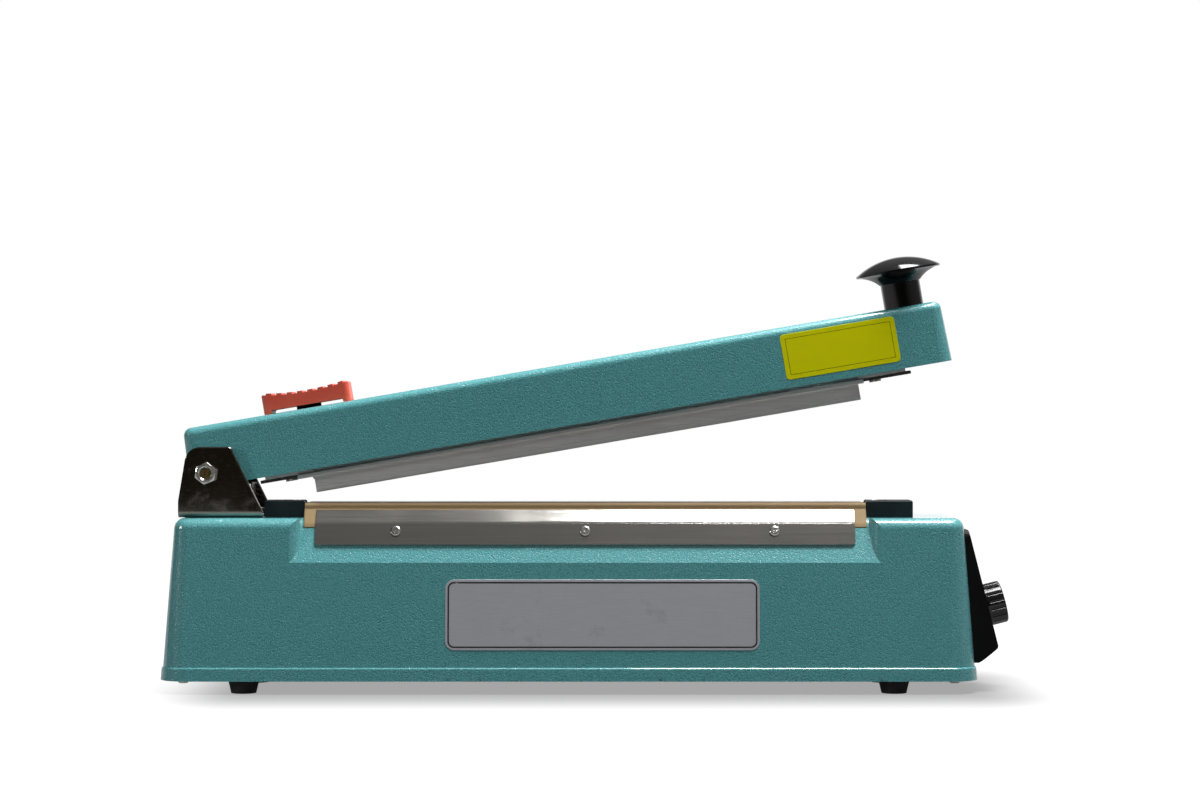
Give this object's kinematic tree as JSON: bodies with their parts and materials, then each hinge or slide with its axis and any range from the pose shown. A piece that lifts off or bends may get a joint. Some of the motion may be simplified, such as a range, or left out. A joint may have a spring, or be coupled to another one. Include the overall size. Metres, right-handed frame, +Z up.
{
  "type": "tabletop heat sealer",
  "caption": "Tabletop impulse heat sealer with a hinged press arm, a mushroom knob, a sliding cutter and a timer dial on a drafted cast base with a hammered finish.",
  "frame": {"origin": "on the table under the middle of the seal and of the base's width", "axes": "+X along the seal from hinge to handle, +Y to the back, +Z up"},
  "size_m": [0.4786, 0.084, 0.2453],
  "materials": {
    "teal_paint": "hammered enamel on cast aluminium",
    "dark_steel": "blackened steel",
    "plated_steel": "zinc plated",
    "bright_chrome": "bright plated sheet",
    "extruded_aluminium": "as extruded",
    "brushed_strip": "brushed along its length",
    "ribbon_alloy": "oxidised resistance ribbon",
    "blade_steel": "ground",
    "brass_bush": "turned",
    "tan_glass_cloth": "PTFE coated glass cloth",
    "grey_silicone": "matt silicone",
    "black_rubber": "matt",
    "black_plastic": "moulded, fine grain",
    "black_gloss": "polished phenolic",
    "red_plastic": "moulded, satin",
    "white_plastic": "nylon",
    "red_lens": "clear tinted lens",
    "green_board": "coated laminate",
    "blue_plastic": "component cases",
    "wound_copper": "varnished winding under tape"
  },
  "bodies": {
    "base": {"base_housing": "teal_paint", "bottom_plate": "dark_steel", "bottom_plate_screws": "plated_steel", "rubber_feet": "black_rubber", "foot_screws": "plated_steel", "hinge_bracket": "bright_chrome", "bracket_bolts": "plated_steel", "pivot_bolt": "plated_steel", "pivot_nut": "plated_steel", "pivot_washers": "white_plastic", "stop_buffer": "black_rubber", "sealing_bar": "extruded_aluminium", "film_bar": "extruded_aluminium", "bar_screws": "plated_steel", "insulating_strip": "tan_glass_cloth", "heating_ribbon": "ribbon_alloy", "ptfe_cover": "tan_glass_cloth", "front_retainer": "brushed_strip", "retainer_screws": "plated_steel", "hinge_terminal_block": "black_plastic", "handle_terminal_block": "black_plastic", "terminal_screws": "plated_steel", "control_housing": "black_plastic", "control_housing_screws": "plated_steel", "signal_lamp": "red_lens", "timer_potentiometer": "plated_steel", "potentiometer_nut": "plated_steel", "timer_board": "green_board", "board_components": "blue_plastic", "transformer_core": "dark_steel", "transformer_winding": "wound_copper", "transformer_strap": "plated_steel", "transformer_screws": "plated_steel", "micro_switch": "black_plastic", "switch_bracket": "plated_steel", "cord_grommet": "black_rubber", "return_spring": "plated_steel"},
    "arm": {"press_arm": "teal_paint", "arm_knob": "black_gloss", "knob_screw": "plated_steel", "pivot_bush": "brass_bush", "guide_bolts": "plated_steel", "guide_springs": "plated_steel"},
    "press_bar": {"hanger_plates": "dark_steel", "front_press_rail": "extruded_aluminium", "rear_press_rail": "extruded_aluminium", "rail_screws": "plated_steel", "front_pad": "grey_silicone", "rear_pad": "grey_silicone"},
    "cutter": {"cutter_slider": "red_plastic", "blade_carrier": "black_plastic", "cutter_blade": "blade_steel", "blade_screw": "plated_steel"},
    "timer": {"timer_knob": "black_plastic", "timer_shaft": "extruded_aluminium"},
    "switch_rod": {"switch_rod": "plated_steel"},
    "switch_lever": {"switch_lever": "plated_steel"}
  },
  "joints": [
    {"name": "arm_hinge", "type": "hinge", "parent": "base", "child": "arm", "pos_m": [-0.21425, 0, 0.1225], "axis": [0, 1, 0], "range_deg": [0, 9.65], "stiffness_Nm_per_rad": 6, "springref_deg": -34.38},
    {"name": "press_bar_float", "type": "slide", "parent": "arm", "child": "press_bar", "axis": [-0.1676, 0, 0.9858], "range_m": [0, 0.0047], "deforming": ["guide_springs"]},
    {"name": "cutter_slide", "type": "slide", "parent": "arm", "child": "cutter", "axis": [0.9858, 0, 0.1676], "range_m": [0, 0.3]},
    {"name": "timer_turn", "type": "hinge", "parent": "base", "child": "timer", "pos_m": [0.22501, 0, 0.0462], "axis": [0.969, 0, 0.247], "range_deg": [0, 300]},
    {"name": "switch_rod_slide", "type": "slide", "parent": "base", "child": "switch_rod", "axis": [0, 0, -1], "range_m": [0, 0.00263], "deforming": ["return_spring"]},
    {"name": "switch_lever_turn", "type": "hinge", "parent": "base", "child": "switch_lever", "pos_m": [-0.20921, 0, 0.08037], "axis": [0, 1, 0], "range_deg": [0, 9.6]}
  ],
  "couplings": [
    {"joint": "press_bar_float", "follows": "arm_hinge", "m_per_rad": 0.027906},
    {"joint": "switch_rod_slide", "follows": "arm_hinge", "m_per_rad": 0.0156},
    {"joint": "switch_lever_turn", "follows": "arm_hinge", "ratio": 0.9948}
  ]
}
